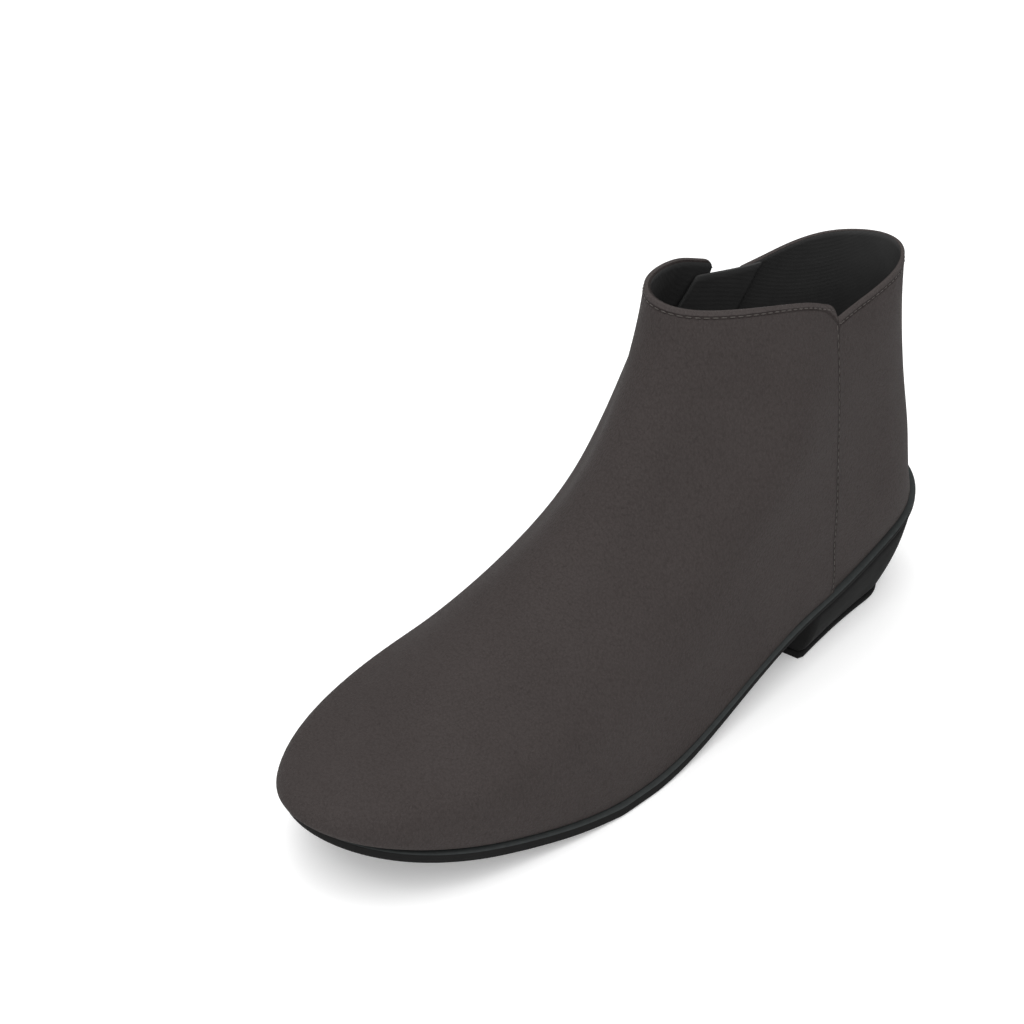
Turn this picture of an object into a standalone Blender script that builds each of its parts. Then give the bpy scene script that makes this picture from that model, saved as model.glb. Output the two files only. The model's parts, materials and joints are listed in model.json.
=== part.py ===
"""Left ankle boot with a low block heel and an inside zip.

The toe points to -X, the outer (lateral) side of the foot to -Y and +Z is up. The boot stands on its
heel lift and on the flat of its tread at z = 0. Lengths below are in millimetres of the master last: a
place along the boot is its distance from the heel towards the toe, sideways is plus towards the inner side.
"""
import math

import bmesh
import bpy
import numpy as np
from mathutils import Matrix, Vector

for old in list(bpy.data.objects):
    bpy.data.objects.remove(old, do_unlink=True)

MM = 0.001
GRADE = 0.93              # the last is drawn in its master size and graded to about EU 40
CENTRE_ALONG = 117.5      # the frame's origin, under the middle of the boot
CENTRE_ACROSS = 1.9
CLEAR = 0.3               # gap between pieces that rest on each other

# Upper: leather wall, the step where the vamp laps over the quarter, and its edges
WALL = 2.0
LAP = 0.8
LAP_SLOPE = 0.4
CORNER_RADIUS = 7.0       # rounded top corners of the front panel
FOOT_BEND_LEVEL = 2.4     # sections below this one bend down onto the sole
HEEL_BEND_LEVEL = 5.0     # and below this one up onto the back of the heel seat

# Sole unit
SOLE_LENGTH = 265.0
SOLE_THICK = 4.8
SEAT_THICK = 3.0          # the outsole thins towards the heel
WELT = 1.8
EDGE_CHAMFER = 0.7
HEEL_RISE = 24.3          # underside of the outsole at the breast of the heel
SEAT_SLOPE = 9.0          # further rise of the seat behind the breast
SEAT_POWER = 1.5
BREAST = 56.0
BREAST_SLANT = 0.19       # the breast runs forward on the inner side
WAIST_START = 48.0
TREAD_START = 143.0
TREAD_END = 164.0
TOE_SPRING = 24.0
SPRING_POWER = 1.4
LIFT_THICK = 3.2
HEEL_INSET_TOP = 0.9
HEEL_SIDE_TAPER = 6.1     # from the top of the heel to its foot, on each side
TAPER_POWER = 1.65
HEEL_BACK_TAPER = 15.2
HEEL_ROUND_TAPER = 8.0    # the back is shorter and rounder at the foot
INSOLE_THICK = 2.5
INSOLE_GAP = 1.0          # between the insole's edge and the upper
INSOLE_SLOPE = 2.2        # its edge slopes in, clear of the upper's back

# Zip
TAPE_THICK = 0.7
TAPE_MARGIN = 5.0
GUARD_THICK = 1.0
GUARD_MARGIN = 8.0
ZIP_TOP_LEVEL = 8.06      # zip and guard end near the topline
GUARD_TOP_LEVEL = 8.28
SLIDER_LEVEL = 7.84
SLOT_FOOT_LEVEL = 2.75
SLOT_FOOT_SLOPE = 0.2     # the foot of the slot rises to its rear edge
SLOT_FOOT_ROUND = 0.45    # and is rounded there
TAPE_BELOW = 0.3          # the tape and the guard reach below the slot's foot
GUARD_BELOW = 0.6
TOOTH_PITCH = 2.6
TOOTH_STEP = 0.6          # the teeth of one side end short of the other side's
CHAIN_START = 0.34
CHAIN_END = 0.25
CHAIN_HALF = 2.8
CHAIN_CORE = 1.3
CHAIN_DEEP = 2.0
CHAIN_TOP = 0.5
SLIDER_LENGTH = 11.0
SLIDER_HALF = 4.2
SLIDER_LOW = 0.1
SLIDER_HIGH = 1.5
BRIDGE_HALF = 1.4
BRIDGE_REACH = 3.2
BRIDGE_LEG = 0.9
BRIDGE_INNER = 3.1
BRIDGE_OUTER = 3.9
PIN_HIGH = 2.3
PIN_HALF = 0.45

# One row per section of the upper, from the feather edge on the sole up past the topline. Each section is
# a closed loop on a plane from the back of the heel to the ridge of the instep or the toe.
# toe, toe_z, back, back_z: its two ends.  heel, waist, ball, tip: half-widths along it.
# toe_round, back_round: length of its rounded ends.  toe_off, waist_off, back_off: sideways bend.
# seam: vamp edge on the outer side.  zip_front, zip_rear: edges of the zip slot on the inner side.
COLUMNS = ("toe", "toe_z", "back", "back_z", "heel", "waist", "ball", "tip", "toe_round", "back_round",
           "toe_off", "waist_off", "back_off", "seam", "zip_front", "zip_rear")
SECTIONS = np.array((
    (262, 26.5, -31.5, 34.6, 27.4, 31.0, 45.0, 39.5, 50.0, 27.5, 6.5, -7.5, -0.5, 39.5, 84.0, 69.5),
    (268, 29.5, -29.4, 39.6, 29.5, 32.0, 45.5, 40.0, 56.0, 31.3, 4.5, -6.5, -1.0, 40.2, 81.3, 68.0),
    (262, 39.0, -27.6, 45.8, 31.4, 34.0, 43.0, 39.5, 56.0, 34.1, 4.0, -4.0, -1.5, 41.2, 79.0, 66.0),
    (232, 46.0, -26.1, 53.8, 32.4, 35.0, 40.0, 36.0, 58.0, 36.2, 3.0, -2.5, -1.5, 42.6, 77.4, 64.3),
    (199, 60.5, -25.6, 64.1, 32.8, 36.0, 37.0, 31.5, 61.0, 37.0, 1.0, -2.0, -0.5, 44.0, 75.9, 62.3),
    (163, 78.5, -25.4, 78.0, 32.0, 36.0, 37.5, 28.0, 58.0, 37.9, -0.5, -1.5, 0.5, 45.0, 74.1, 59.4),
    (139, 100.0, -25.0, 93.9, 29.8, 34.5, 39.3, 25.5, 53.0, 40.0, -2.8, -1.6, 2.0, 46.5, 70.9, 55.5),
    (123, 124.0, -24.3, 111.5, 27.5, 32.0, 37.7, 25.7, 48.5, 43.0, -4.5, -1.7, 2.5, 47.8, 64.2, 47.3),
    (111, 149.0, -22.8, 130.0, 26.7, 27.2, 32.7, 29.3, 48.5, 46.0, -5.3, -1.0, 2.4, 44.0, 53.3, 37.8),
    (107, 174.0, -24.0, 149.0, 23.0, 20.0, 23.5, 26.0, 52.0, 46.0, -3.5, 0.3, 1.2, 36.5, 42.5, 27.5),
), dtype=float)
TOP_LEVEL = len(SECTIONS) - 1
STATIONS = (0.0, 0.15, 0.42, 0.70, 0.90, 1.0)      # where heel, waist, ball and tip widths apply
BEND_STATIONS = (0.0, 0.42, 0.75, 1.0)
NEAR = 0.02                                        # a small step in level or turn, to read a direction

# Height of the topline along the boot: place, outer side, inner side
QUARTER_TOP = np.array(((-24, 144.6, 144.6), (-8, 145.1, 145.4), (8, 145.4, 144.8), (25, 144.8, 144.2),
                        (48, 144.6, 143.8)))
FRONT_TOP = np.array(((42, 150.2, 150.5), (48, 152.2, 151.7), (54, 155.2, 153.3), (68, 160.2, 158.8),
                      (82, 163.4, 162.0), (95, 165.4, 164.4), (108, 166.5, 166.5)))


def curve(knots, values, at):
    """Smooth curve through the values at the knots; the values may have several columns."""
    knots = np.asarray(knots, float)
    values = np.asarray(values, float)
    at = np.asarray(at, float)
    columns = (slice(None),) + (None,) * (values.ndim - 1)
    step = np.diff(knots)
    rise = np.diff(values, axis=0) / step[columns]
    slope = np.empty_like(values)
    slope[0] = rise[0]
    slope[-1] = rise[-1]
    near = (step[1:] / (step[1:] + step[:-1]))[columns]
    slope[1:-1] = rise[:-1] * near + rise[1:] * (1 - near)
    i = np.clip(np.searchsorted(knots, at) - 1, 0, len(knots) - 2)
    spread = (Ellipsis,) + (None,) * (values.ndim - 1)
    t = ((at - knots[i]) / step[i])[spread]
    h = step[i][spread]
    first = (2 * t ** 3 - 3 * t ** 2 + 1) * values[i] + (t ** 3 - 2 * t ** 2 + t) * h * slope[i]
    second = (3 * t ** 2 - 2 * t ** 3) * values[i + 1] + (t ** 3 - t ** 2) * h * slope[i + 1]
    return first + second


def smoothstep(t):
    t = np.clip(t, 0, 1)
    return t * t * (3 - 2 * t)


def sections(level):
    """The section at each level, as one array per named column."""
    return dict(zip(COLUMNS, np.moveaxis(curve(np.arange(len(SECTIONS)), SECTIONS, level), -1, 0)))


def loop_points(row, turn):
    """Points of a section: turn 0 at the back, a half turn at the toe, the outer side first."""
    length = np.hypot(row["toe"] - row["back"], row["toe_z"] - row["back_z"])
    share = 0.5 - 0.5 * np.cos(turn)
    side = np.where(np.mod(turn, 2 * math.pi) < math.pi, -1.0, 1.0)
    widths = [row["heel"], row["heel"], row["waist"], row["ball"], row["tip"], row["tip"]]
    bends = [row["back_off"], row["waist_off"], 0.5 * row["toe_off"], row["toe_off"]]
    half = blend_stations(STATIONS, widths, share)
    middle = blend_stations(BEND_STATIONS, bends, share)
    to_back = np.clip(1 - share * length / row["back_round"], 0, 1)
    to_toe = np.clip(1 - (1 - share) * length / row["toe_round"], 0, 1)
    half = half * np.sqrt(1 - to_back ** 2) * np.sqrt(1 - to_toe ** 2)
    along = row["back"] + (row["toe"] - row["back"]) * share
    height = row["back_z"] + (row["toe_z"] - row["back_z"]) * share
    return along, middle + side * half, height


def blend_stations(stations, values, share):
    """One smooth curve per point, through the values that belong to that point."""
    values = np.stack(np.broadcast_arrays(*values, share)[:-1], -1)
    flat = values.reshape(-1, len(stations))
    each = [curve(stations, row, at) for row, at in zip(flat, np.ravel(share))]
    return np.array(each).reshape(np.shape(share))


def waist_share(along):
    """How far down the waist a place lies, from the heel seat (0) to the tread (1)."""
    return smoothstep((along - WAIST_START) / (TREAD_START - WAIST_START))


def sole_under(along):
    """Underside of the outsole: sloped heel seat, waist, flat tread and toe spring."""
    seat = SEAT_SLOPE * np.maximum((WAIST_START - along) / WAIST_START, 0) ** SEAT_POWER
    toe = np.maximum((along - TREAD_END) / (SOLE_LENGTH - TREAD_END), 0) ** SPRING_POWER
    return HEEL_RISE * (1 - waist_share(along)) + seat + TOE_SPRING * toe


def sole_top(along):
    thick = SEAT_THICK + (SOLE_THICK - SEAT_THICK) * waist_share(along)
    return sole_under(along) + thick


def last(level, turn):
    """Middle surface of the leather's outer face, before the lap of the panels."""
    along, across, height = loop_points(sections(level), turn)
    foot = SECTIONS[0]
    chord = foot[3] + (foot[1] - foot[3]) * (along - foot[2]) / (foot[0] - foot[2])
    lift = sole_top(along) + CLEAR - chord
    bend = smoothstep(1 - np.asarray(level) / np.where(lift > 0, HEEL_BEND_LEVEL, FOOT_BEND_LEVEL))
    return np.stack([along, across, height + bend * lift], -1)


def outward(level, turn):
    """Unit normal of that surface, pointing away from the foot."""
    below = np.maximum(np.asarray(level, float) - NEAR, 0)
    above = np.asarray(level, float) + NEAR
    around = last(level, turn + NEAR) - last(level, turn - NEAR)
    up = last(above, turn) - last(below, turn)
    normal = np.cross(around, up)
    return normal / np.linalg.norm(normal, axis=-1, keepdims=True)


def turn_at(level, along, inner):
    """Turn of the point of a section that lies at this place along the boot."""
    row = sections(level)
    share = np.clip((along - row["back"]) / (row["toe"] - row["back"]), 0, 1)
    turn = np.arccos(1 - 2 * share)
    return 2 * math.pi - turn if inner else turn


def world(points):
    """From places on the master last to the part's frame in metres, in the graded size."""
    points = np.asarray(points, float)
    x = CENTRE_ALONG - points[..., 0]
    y = points[..., 1] - CENTRE_ACROSS
    return np.stack([x, y, points[..., 2]], -1) * GRADE * MM


def material(name, colour, roughness, metallic=0.0):
    made = bpy.data.materials.new(name)
    made.use_nodes = True
    shader = made.node_tree.nodes["Principled BSDF"]
    shader.inputs["Base Color"].default_value = (*colour, 1)
    shader.inputs["Roughness"].default_value = roughness
    shader.inputs["Metallic"].default_value = metallic
    made.diffuse_color = (*colour, 1)
    return made


LEATHER = material("black_brown_leather", (0.052, 0.047, 0.045), 0.55)
LINING = material("dark_lining", (0.016, 0.016, 0.016), 0.8)
RUBBER = material("black_rubber", (0.020, 0.020, 0.020), 0.6)
HEEL_STACK = material("black_heel", (0.026, 0.026, 0.026), 0.5)
TAPE = material("grey_tape", (0.09, 0.09, 0.10), 0.85)
BRASS = material("brass", (0.62, 0.45, 0.12), 0.25, 1.0)


def finish(name, mesh_bm, finish_material, origin=(0, 0, 0)):
    """Closes a bmesh into a named object whose origin is at the given point in metres."""
    bmesh.ops.recalc_face_normals(mesh_bm, faces=mesh_bm.faces)
    bmesh.ops.translate(mesh_bm, verts=mesh_bm.verts, vec=-Vector(origin))
    mesh = bpy.data.meshes.new(name)
    mesh_bm.to_mesh(mesh)
    mesh_bm.free()
    mesh.shade_smooth()
    mesh.set_sharp_from_angle(angle=math.radians(35))
    mesh.materials.append(finish_material)
    made = bpy.data.objects.new(name, mesh)
    made.location = origin
    bpy.context.scene.collection.objects.link(made)
    return made


def face(bm, corners):
    """A face over the distinct corners of a patch."""
    distinct = list(dict.fromkeys(corners))
    if len(distinct) > 2:
        bm.faces.new(distinct)


def close_loop(bm, ring):
    """Fills a ring with straight strips from its outer side to its inner side."""
    n = len(ring)
    for k in range(n // 2):
        face(bm, (ring[k], ring[k + 1], ring[n - k - 1], ring[(n - k) % n]))


def stacked(rings):
    """Solid through rings of points, each with as many points, filled at both ends."""
    bm = bmesh.new()
    made = [[bm.verts.new(point) for point in world(ring)] for ring in rings]
    for low, high in zip(made, made[1:]):
        for k in range(len(low)):
            j = (k + 1) % len(low)
            face(bm, (low[k], low[j], high[j], high[k]))
    close_loop(bm, made[0])
    close_loop(bm, made[-1])
    return bm


def sheet(points, normals, high, low):
    """Thin solid over a grid of points, from one height along the normals to a lower one."""
    bm = bmesh.new()
    faces = [[[bm.verts.new(point) for point in row] for row in world(points + normals * at)]
             for at in (high, low)]
    rows, columns = points.shape[:2]
    for side in faces:
        for i in range(rows - 1):
            for j in range(columns - 1):
                face(bm, (side[i][j], side[i][j + 1], side[i + 1][j + 1], side[i + 1][j]))
    rim = [(0, j) for j in range(columns)] + [(i, columns - 1) for i in range(1, rows)]
    rim += [(rows - 1, j) for j in range(columns - 2, -1, -1)] + [(i, 0) for i in range(rows - 2, 0, -1)]
    for (i, j), (k, m) in zip(rim, rim[1:] + rim[:1]):
        face(bm, (faces[0][i][j], faces[0][k][m], faces[1][k][m], faces[1][i][j]))
    return bm


# Upper

QUARTER_COLUMNS = 9
VAMP_COLUMNS = 15
CORNER_SHARES = (0.0, 0.018, 0.04, 0.065, 0.095)     # close columns round the front panel's corners
SLOT_SHARES = (0.0, 0.3, 0.55, 0.75, 0.88, 0.96)     # and round the foot of the zip slot
ROUND_FROM = 0.4          # share of the slot's foot at which its rounded corner starts
LOW_ROWS = (0.0, 0.1, 0.21, 0.33, 0.46, 0.6, 0.74, 0.87, 1.0)
HIGH_ROWS = 12
ROW_SPLIT_LEVEL = 3.15    # level between the low and the high rows away from the slot
LOWEST_TOPLINE = 6.5      # the topline lies above this level everywhere
HALVINGS = 30


def panel_turn(panel, share, level):
    """Turn of a column: a share of the way across one panel of the upper."""
    row = sections(level)
    seam = turn_at(level, row["seam"], False)
    lapped = turn_at(level, row["seam"] - LAP_SLOPE, False)
    front = turn_at(level, row["zip_front"], True)
    behind = turn_at(level, row["zip_front"] - LAP_SLOPE, True)
    rear = turn_at(level, row["zip_rear"], True)
    start, end = {
        "inner_quarter": (rear, 2 * math.pi),
        "outer_quarter": (0.0, lapped),
        "outer_vamp": (seam, math.pi),
        "inner_vamp": (math.pi, front),
        "slot": (behind, rear),
    }[panel]
    return start + (end - start) * share


def upper_columns():
    """Columns once round the upper from the rear edge of the slot, by the back and the toe."""
    even = np.linspace(CORNER_SHARES[-1], 1, VAMP_COLUMNS)[1:]
    outer = list(CORNER_SHARES) + list(even)
    inner = [1 - share for share in reversed(outer)]
    columns = [("inner_quarter", k / QUARTER_COLUMNS) for k in range(QUARTER_COLUMNS)]
    columns += [("outer_quarter", k / QUARTER_COLUMNS) for k in range(QUARTER_COLUMNS + 1)]
    columns += [("outer_vamp", share) for share in outer[:-1]]
    columns += [("inner_vamp", share) for share in inner]
    columns += [("slot", share) for share in SLOT_SHARES]
    return columns


def slot_foot(panel, share):
    """Level that parts the rows below the slot from those beside it; rounded at the slot's rear corner."""
    rear = SLOT_FOOT_LEVEL + SLOT_FOOT_SLOPE + SLOT_FOOT_ROUND
    if panel == "slot":
        corner = max(0.0, (share - ROUND_FROM) / (1 - ROUND_FROM))
        rounded = SLOT_FOOT_ROUND * (1 - math.sqrt(1 - corner ** 2))
        return SLOT_FOOT_LEVEL + SLOT_FOOT_SLOPE * share + rounded
    if panel == "inner_quarter":
        return rear + (ROW_SPLIT_LEVEL - rear) * smoothstep(2 * share)
    if panel == "inner_vamp":
        return ROW_SPLIT_LEVEL + (SLOT_FOOT_LEVEL - ROW_SPLIT_LEVEL) * smoothstep(2 * share - 1)
    return ROW_SPLIT_LEVEL


def topline_height(panel, along, edge):
    """Height of the topline; edge is how far the place lies from the panel's own edge."""
    inner = panel.startswith("inner")
    if panel.endswith("quarter"):
        return float(curve(QUARTER_TOP[:, 0], QUARTER_TOP[:, 2 if inner else 1], along))
    height = float(curve(FRONT_TOP[:, 0], FRONT_TOP[:, 2 if inner else 1], along))
    corner = max(0.0, 1 - edge / CORNER_RADIUS)
    return height - CORNER_RADIUS * (1 - math.sqrt(1 - corner ** 2))


def topline_level(panel, share):
    """Level at which a column meets the topline, found by halving."""
    low = LOWEST_TOPLINE
    high = TOP_LEVEL
    for _ in range(HALVINGS):
        level = 0.5 * (low + high)
        turn = panel_turn(panel, share, level)
        place = last(level, turn)
        row = sections(level)
        border = row["zip_front"] if panel == "inner_vamp" else row["seam"]
        edge = float(np.linalg.norm(place - last(level, turn_at(level, border, panel.startswith("inner")))))
        if place[2] < topline_height(panel, float(place[0]), edge):
            low = level
        else:
            high = level
    return 0.5 * (low + high)


def upper():
    """Hollow leather upper, open at the collar, underneath and at the zip slot."""
    columns = upper_columns()
    rows = len(LOW_ROWS) + HIGH_ROWS
    foot_row = len(LOW_ROWS) - 1
    bm = bmesh.new()
    outer = []
    inner = []
    for panel, share in columns:
        foot = slot_foot(panel, share)
        levels = [foot * t for t in LOW_ROWS]
        if panel != "slot":
            top = topline_level(panel, share)
            levels += [foot + (top - foot) * (k + 1) / HIGH_ROWS for k in range(HIGH_ROWS)]
        levels = np.array(levels)
        turns = np.array([panel_turn(panel, share, level) for level in levels])
        skin = last(levels, turns)
        normal = outward(levels, turns)
        proud = 0.5 * LAP if panel.endswith("vamp") else -0.5 * LAP
        face_out = skin + normal * proud
        face_in = skin - normal * WALL
        face_out[0, 2] = sole_top(face_out[0, 0]) + CLEAR
        face_in[0, 2] = sole_top(face_in[0, 0]) + CLEAR
        outer.append([bm.verts.new(point) for point in world(face_out)])
        inner.append([bm.verts.new(point) for point in world(face_in)])
    count = len(columns)
    slot_start = count - len(SLOT_SHARES) - 1
    for j in range(count):
        k = (j + 1) % count
        reach = foot_row if j >= slot_start else rows - 1
        for wall in (outer, inner):
            for i in range(reach):
                face(bm, (wall[j][i], wall[k][i], wall[k][i + 1], wall[j][i + 1]))
        for i in (0, reach):
            face(bm, (outer[j][i], outer[k][i], inner[k][i], inner[j][i]))
    for j in (0, slot_start):
        for i in range(foot_row, rows - 1):
            face(bm, (outer[j][i], outer[j][i + 1], inner[j][i + 1], inner[j][i]))
    return finish("upper", bm, LEATHER)


# Sole unit

SOLE_POINTS = 56
HEEL_POINTS = 20


def feather_row(grow):
    """The section on the sole, grown outwards all round."""
    row = dict(zip(COLUMNS, SECTIONS[0]))
    row["toe"] += grow
    row["back"] -= grow
    for name in ("heel", "waist", "ball", "tip", "toe_round", "back_round"):
        row[name] += grow
    return row


def plate(row, height):
    """Ring of a section's outline at a height that depends on the place along the boot."""
    tread = (np.array((TREAD_START + 1, TREAD_END - 1)) - row["back"]) / (row["toe"] - row["back"])
    half = np.sort(np.append(np.linspace(0, math.pi, SOLE_POINTS // 2 + 1), np.arccos(1 - 2 * tread)))
    turns = np.concatenate([half, 2 * math.pi - half[-2:0:-1]])
    along, across, _ = loop_points(row, turns)
    return np.stack([along, across, height(along)], -1)


def outsole():
    rings = [
        plate(feather_row(WELT - EDGE_CHAMFER), sole_under),
        plate(feather_row(WELT), lambda along: sole_under(along) + EDGE_CHAMFER),
        plate(feather_row(WELT), lambda along: sole_top(along) - EDGE_CHAMFER),
        plate(feather_row(WELT - EDGE_CHAMFER), sole_top),
    ]
    return finish("outsole", stacked(rings), RUBBER)


def insole():
    inset = WALL + INSOLE_GAP
    low = plate(feather_row(-inset), lambda along: sole_top(along) + CLEAR)
    high = plate(feather_row(-inset - INSOLE_SLOPE), lambda along: sole_top(along) + CLEAR + INSOLE_THICK)
    return finish("insole", stacked([low, high]), LINING)


def heel_ring(share, height):
    """Ring round the heel, from its top (0) to its foot (1): the outsole's outline behind the breast."""
    row = feather_row(WELT - HEEL_INSET_TOP)
    taper = share ** TAPER_POWER
    row["heel"] -= HEEL_SIDE_TAPER * taper
    row["back"] += HEEL_BACK_TAPER * taper
    row["back_round"] -= HEEL_ROUND_TAPER * taper
    spread = row["toe"] - row["back"]
    corner = row["heel"] * BREAST_SLANT
    shares = np.linspace(0, 1, HEEL_POINTS + 1) ** 2
    outer = np.arccos(1 - 2 * shares * (BREAST - corner - row["back"]) / spread)
    inner = 2 * math.pi - np.arccos(1 - 2 * shares[:0:-1] * (BREAST + corner - row["back"]) / spread)
    along, across, _ = loop_points(row, np.concatenate([outer, inner]))
    return np.stack([along, across, height(along)], -1)


def heel():
    foot = LIFT_THICK + CLEAR
    rings = []
    for share in (1.0, 0.7, 0.35, 0.0):
        rings.append(heel_ring(share, lambda along, share=share:
                               foot * share + (sole_under(along) - CLEAR) * (1 - share)))
    return finish("heel", stacked(rings), HEEL_STACK)


def heel_lift():
    low = heel_ring(1.0, lambda along: 0 * along)
    high = heel_ring(1.0, lambda along: 0 * along + LIFT_THICK)
    return finish("heel_lift", stacked([low, high]), RUBBER)


# Zip

STRIP_ROWS = 15
STRIP_COLUMNS = 7
CHAIN_SAMPLES = 200


def slot_middle(level):
    """Turn of the middle of the zip slot."""
    row = sections(level)
    return turn_at(level, 0.5 * (row["zip_front"] + row["zip_rear"]), True)


def zip_strip(low, high, margin):
    """Grid of points and normals between two levels, across the slot and a margin on both sides."""
    levels = np.linspace(low, high, STRIP_ROWS)
    level, share = np.meshgrid(levels, np.linspace(0, 1, STRIP_COLUMNS), indexing="ij")
    row = sections(level)
    front = turn_at(level, row["zip_front"] + margin, True)
    rear = turn_at(level, row["zip_rear"] - margin, True)
    turn = front + (rear - front) * share
    return last(level, turn), outward(level, turn)


def zip_tape():
    points, normals = zip_strip(SLOT_FOOT_LEVEL - TAPE_BELOW, ZIP_TOP_LEVEL, TAPE_MARGIN)
    high = -WALL - CLEAR
    return finish("zip_tape", sheet(points, normals, high, high - TAPE_THICK), TAPE)


def zip_guard():
    """Leather strip inside the boot that keeps the zip off the ankle."""
    points, normals = zip_strip(SLOT_FOOT_LEVEL - GUARD_BELOW, GUARD_TOP_LEVEL, GUARD_MARGIN)
    high = -WALL - TAPE_THICK - 2 * CLEAR
    return finish("zip_guard", sheet(points, normals, high, high - GUARD_THICK), LINING)


def zip_line():
    """Even stations along the middle of the slot: level and length from its foot."""
    levels = np.linspace(SLOT_FOOT_LEVEL + CHAIN_START, ZIP_TOP_LEVEL - CHAIN_END, CHAIN_SAMPLES)
    path = last(levels, slot_middle(levels))
    run = np.concatenate([[0], np.cumsum(np.linalg.norm(np.diff(path, axis=0), axis=1))])
    return levels, run


def zip_teeth():
    """The closed chain: teeth reach out from its core in turn on either side."""
    levels, run = zip_line()
    teeth = int(run[-1] / (0.5 * TOOTH_PITCH)) // 2 * 2
    edges = []
    for tooth in range(teeth):
        for part in (0.02, 0.52):
            edges.append(((tooth + part) * run[-1] / teeth, tooth % 2, part < 0.5))
    points = []
    normals = []
    for at, side, wide in edges:
        level = np.interp(at, run, levels)
        turn = slot_middle(level)
        middle = last(level, turn)
        normal = outward(level, turn)
        ahead = last(level + NEAR, slot_middle(level + NEAR)) - middle
        across = np.cross(normal, ahead)
        across /= np.linalg.norm(across)
        reach = CHAIN_HALF if wide else CHAIN_CORE
        left = CHAIN_HALF if side == 0 else reach - TOOTH_STEP
        right = reach - TOOTH_STEP if side == 0 else CHAIN_HALF
        points.append((middle - across * left, middle + across * right))
        normals.append((normal, normal))
    return finish("zip_teeth", sheet(np.array(points), np.array(normals), -CHAIN_TOP, -CHAIN_DEEP), BRASS)


def slider_frame():
    """Frame of the slider: X along the chain to its foot, Y across it, Z away from the boot."""
    turn = slot_middle(SLIDER_LEVEL)
    place = last(SLIDER_LEVEL, turn)
    below = last(SLIDER_LEVEL - NEAR, slot_middle(SLIDER_LEVEL - NEAR))
    origin = Vector(world(place))
    z = (Vector(world(place + outward(SLIDER_LEVEL, turn))) - origin).normalized()
    x = Vector(world(below)) - origin
    x = (x - z * x.dot(z)).normalized()
    y = z.cross(x)
    return Matrix((x, y, z)).transposed().to_4x4(), origin


def outlined(bm, outline_points, low, high):
    """Adds a prism over an outline in the slider's plane."""
    ring = [bm.verts.new((x * MM, y * MM, low * MM)) for x, y in outline_points]
    base = bm.faces.new(ring)
    raised = bmesh.ops.extrude_face_region(bm, geom=[base])["geom"]
    moved = [item for item in raised if isinstance(item, bmesh.types.BMVert)]
    bmesh.ops.translate(bm, verts=moved, vec=(0, 0, (high - low) * MM))


def placed(name, bm, finish_material, lift=0.0):
    """Sets a piece made in the slider's frame on the boot, its origin on the slider's axis."""
    turn, origin = slider_frame()
    origin = origin + turn.to_3x3() @ Vector((0, 0, lift * MM))
    bmesh.ops.translate(bm, verts=bm.verts, vec=(0, 0, -lift * MM))
    bmesh.ops.transform(bm, matrix=Matrix.Translation(origin) @ turn, verts=bm.verts)
    return finish(name, bm, finish_material, origin)


def zip_slider():
    """Slider body, wide at its shoulders, with the bridge that holds the pull's pin."""
    bm = bmesh.new()
    half = 0.5 * SLIDER_LENGTH
    body = [(-half, -0.55 * SLIDER_HALF), (-0.6 * half, -SLIDER_HALF), (0.2 * half, -SLIDER_HALF),
            (half, -0.75 * SLIDER_HALF)]
    body += [(x, -y) for x, y in reversed(body)]
    outlined(bm, body, SLIDER_LOW, SLIDER_HIGH)
    top = max(bm.faces, key=lambda f: f.calc_center_median().z)
    cuts = (-BRIDGE_REACH, -BRIDGE_REACH + BRIDGE_LEG, BRIDGE_REACH - BRIDGE_LEG, BRIDGE_REACH)
    grid = {}
    for i, x in enumerate(cuts):
        for j, y in enumerate((-BRIDGE_HALF, BRIDGE_HALF)):
            for k, z in enumerate((SLIDER_HIGH, BRIDGE_INNER, BRIDGE_OUTER)):
                grid[i, j, k] = Vector((x, y, z)) * MM
    bridge_faces(bm, top, grid)
    return placed("zip_slider", bm, BRASS)


def bridge_faces(bm, top, grid):
    """Grows the bridge out of the slider's top face, so that both are one closed skin."""
    made = {key: bm.verts.new(place) for key, place in grid.items()}
    border = list(top.verts)
    bm.faces.remove(top)
    border.sort(key=lambda v: math.atan2(v.co.y, v.co.x))
    feet = [made[0, 0, 0], made[1, 0, 0], made[2, 0, 0], made[3, 0, 0],
            made[3, 1, 0], made[2, 1, 0], made[1, 1, 0], made[0, 1, 0]]
    feet.sort(key=lambda v: math.atan2(v.co.y, v.co.x))
    for k in range(len(border)):
        j = (k + 1) % len(border)
        bm.faces.new((border[k], border[j], feet[j], feet[k]))
    bm.faces.new((made[1, 0, 0], made[2, 0, 0], made[2, 1, 0], made[1, 1, 0]))
    for a, b in ((0, 1), (2, 3)):
        for j in (0, 1):
            bm.faces.new((made[a, j, 0], made[b, j, 0], made[b, j, 1], made[a, j, 1]))
        outer_end = a if a == 0 else b
        inner_end = b if a == 0 else a
        bm.faces.new([made[inner_end, j, k] for j, k in ((0, 0), (1, 0), (1, 1), (0, 1))])
        bm.faces.new([made[outer_end, j, k] for j, k in ((0, 0), (1, 0), (1, 1), (0, 1))])
        bm.faces.new([made[outer_end, j, k] for j, k in ((0, 1), (1, 1), (1, 2), (0, 2))])
    for j in (0, 1):
        for a in range(3):
            bm.faces.new((made[a, j, 1], made[a + 1, j, 1], made[a + 1, j, 2], made[a, j, 2]))
    for a in range(3):
        bm.faces.new((made[a, 0, 2], made[a + 1, 0, 2], made[a + 1, 1, 2], made[a, 1, 2]))
    bm.faces.new((made[1, 0, 1], made[2, 0, 1], made[2, 1, 1], made[1, 1, 1]))


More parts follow.
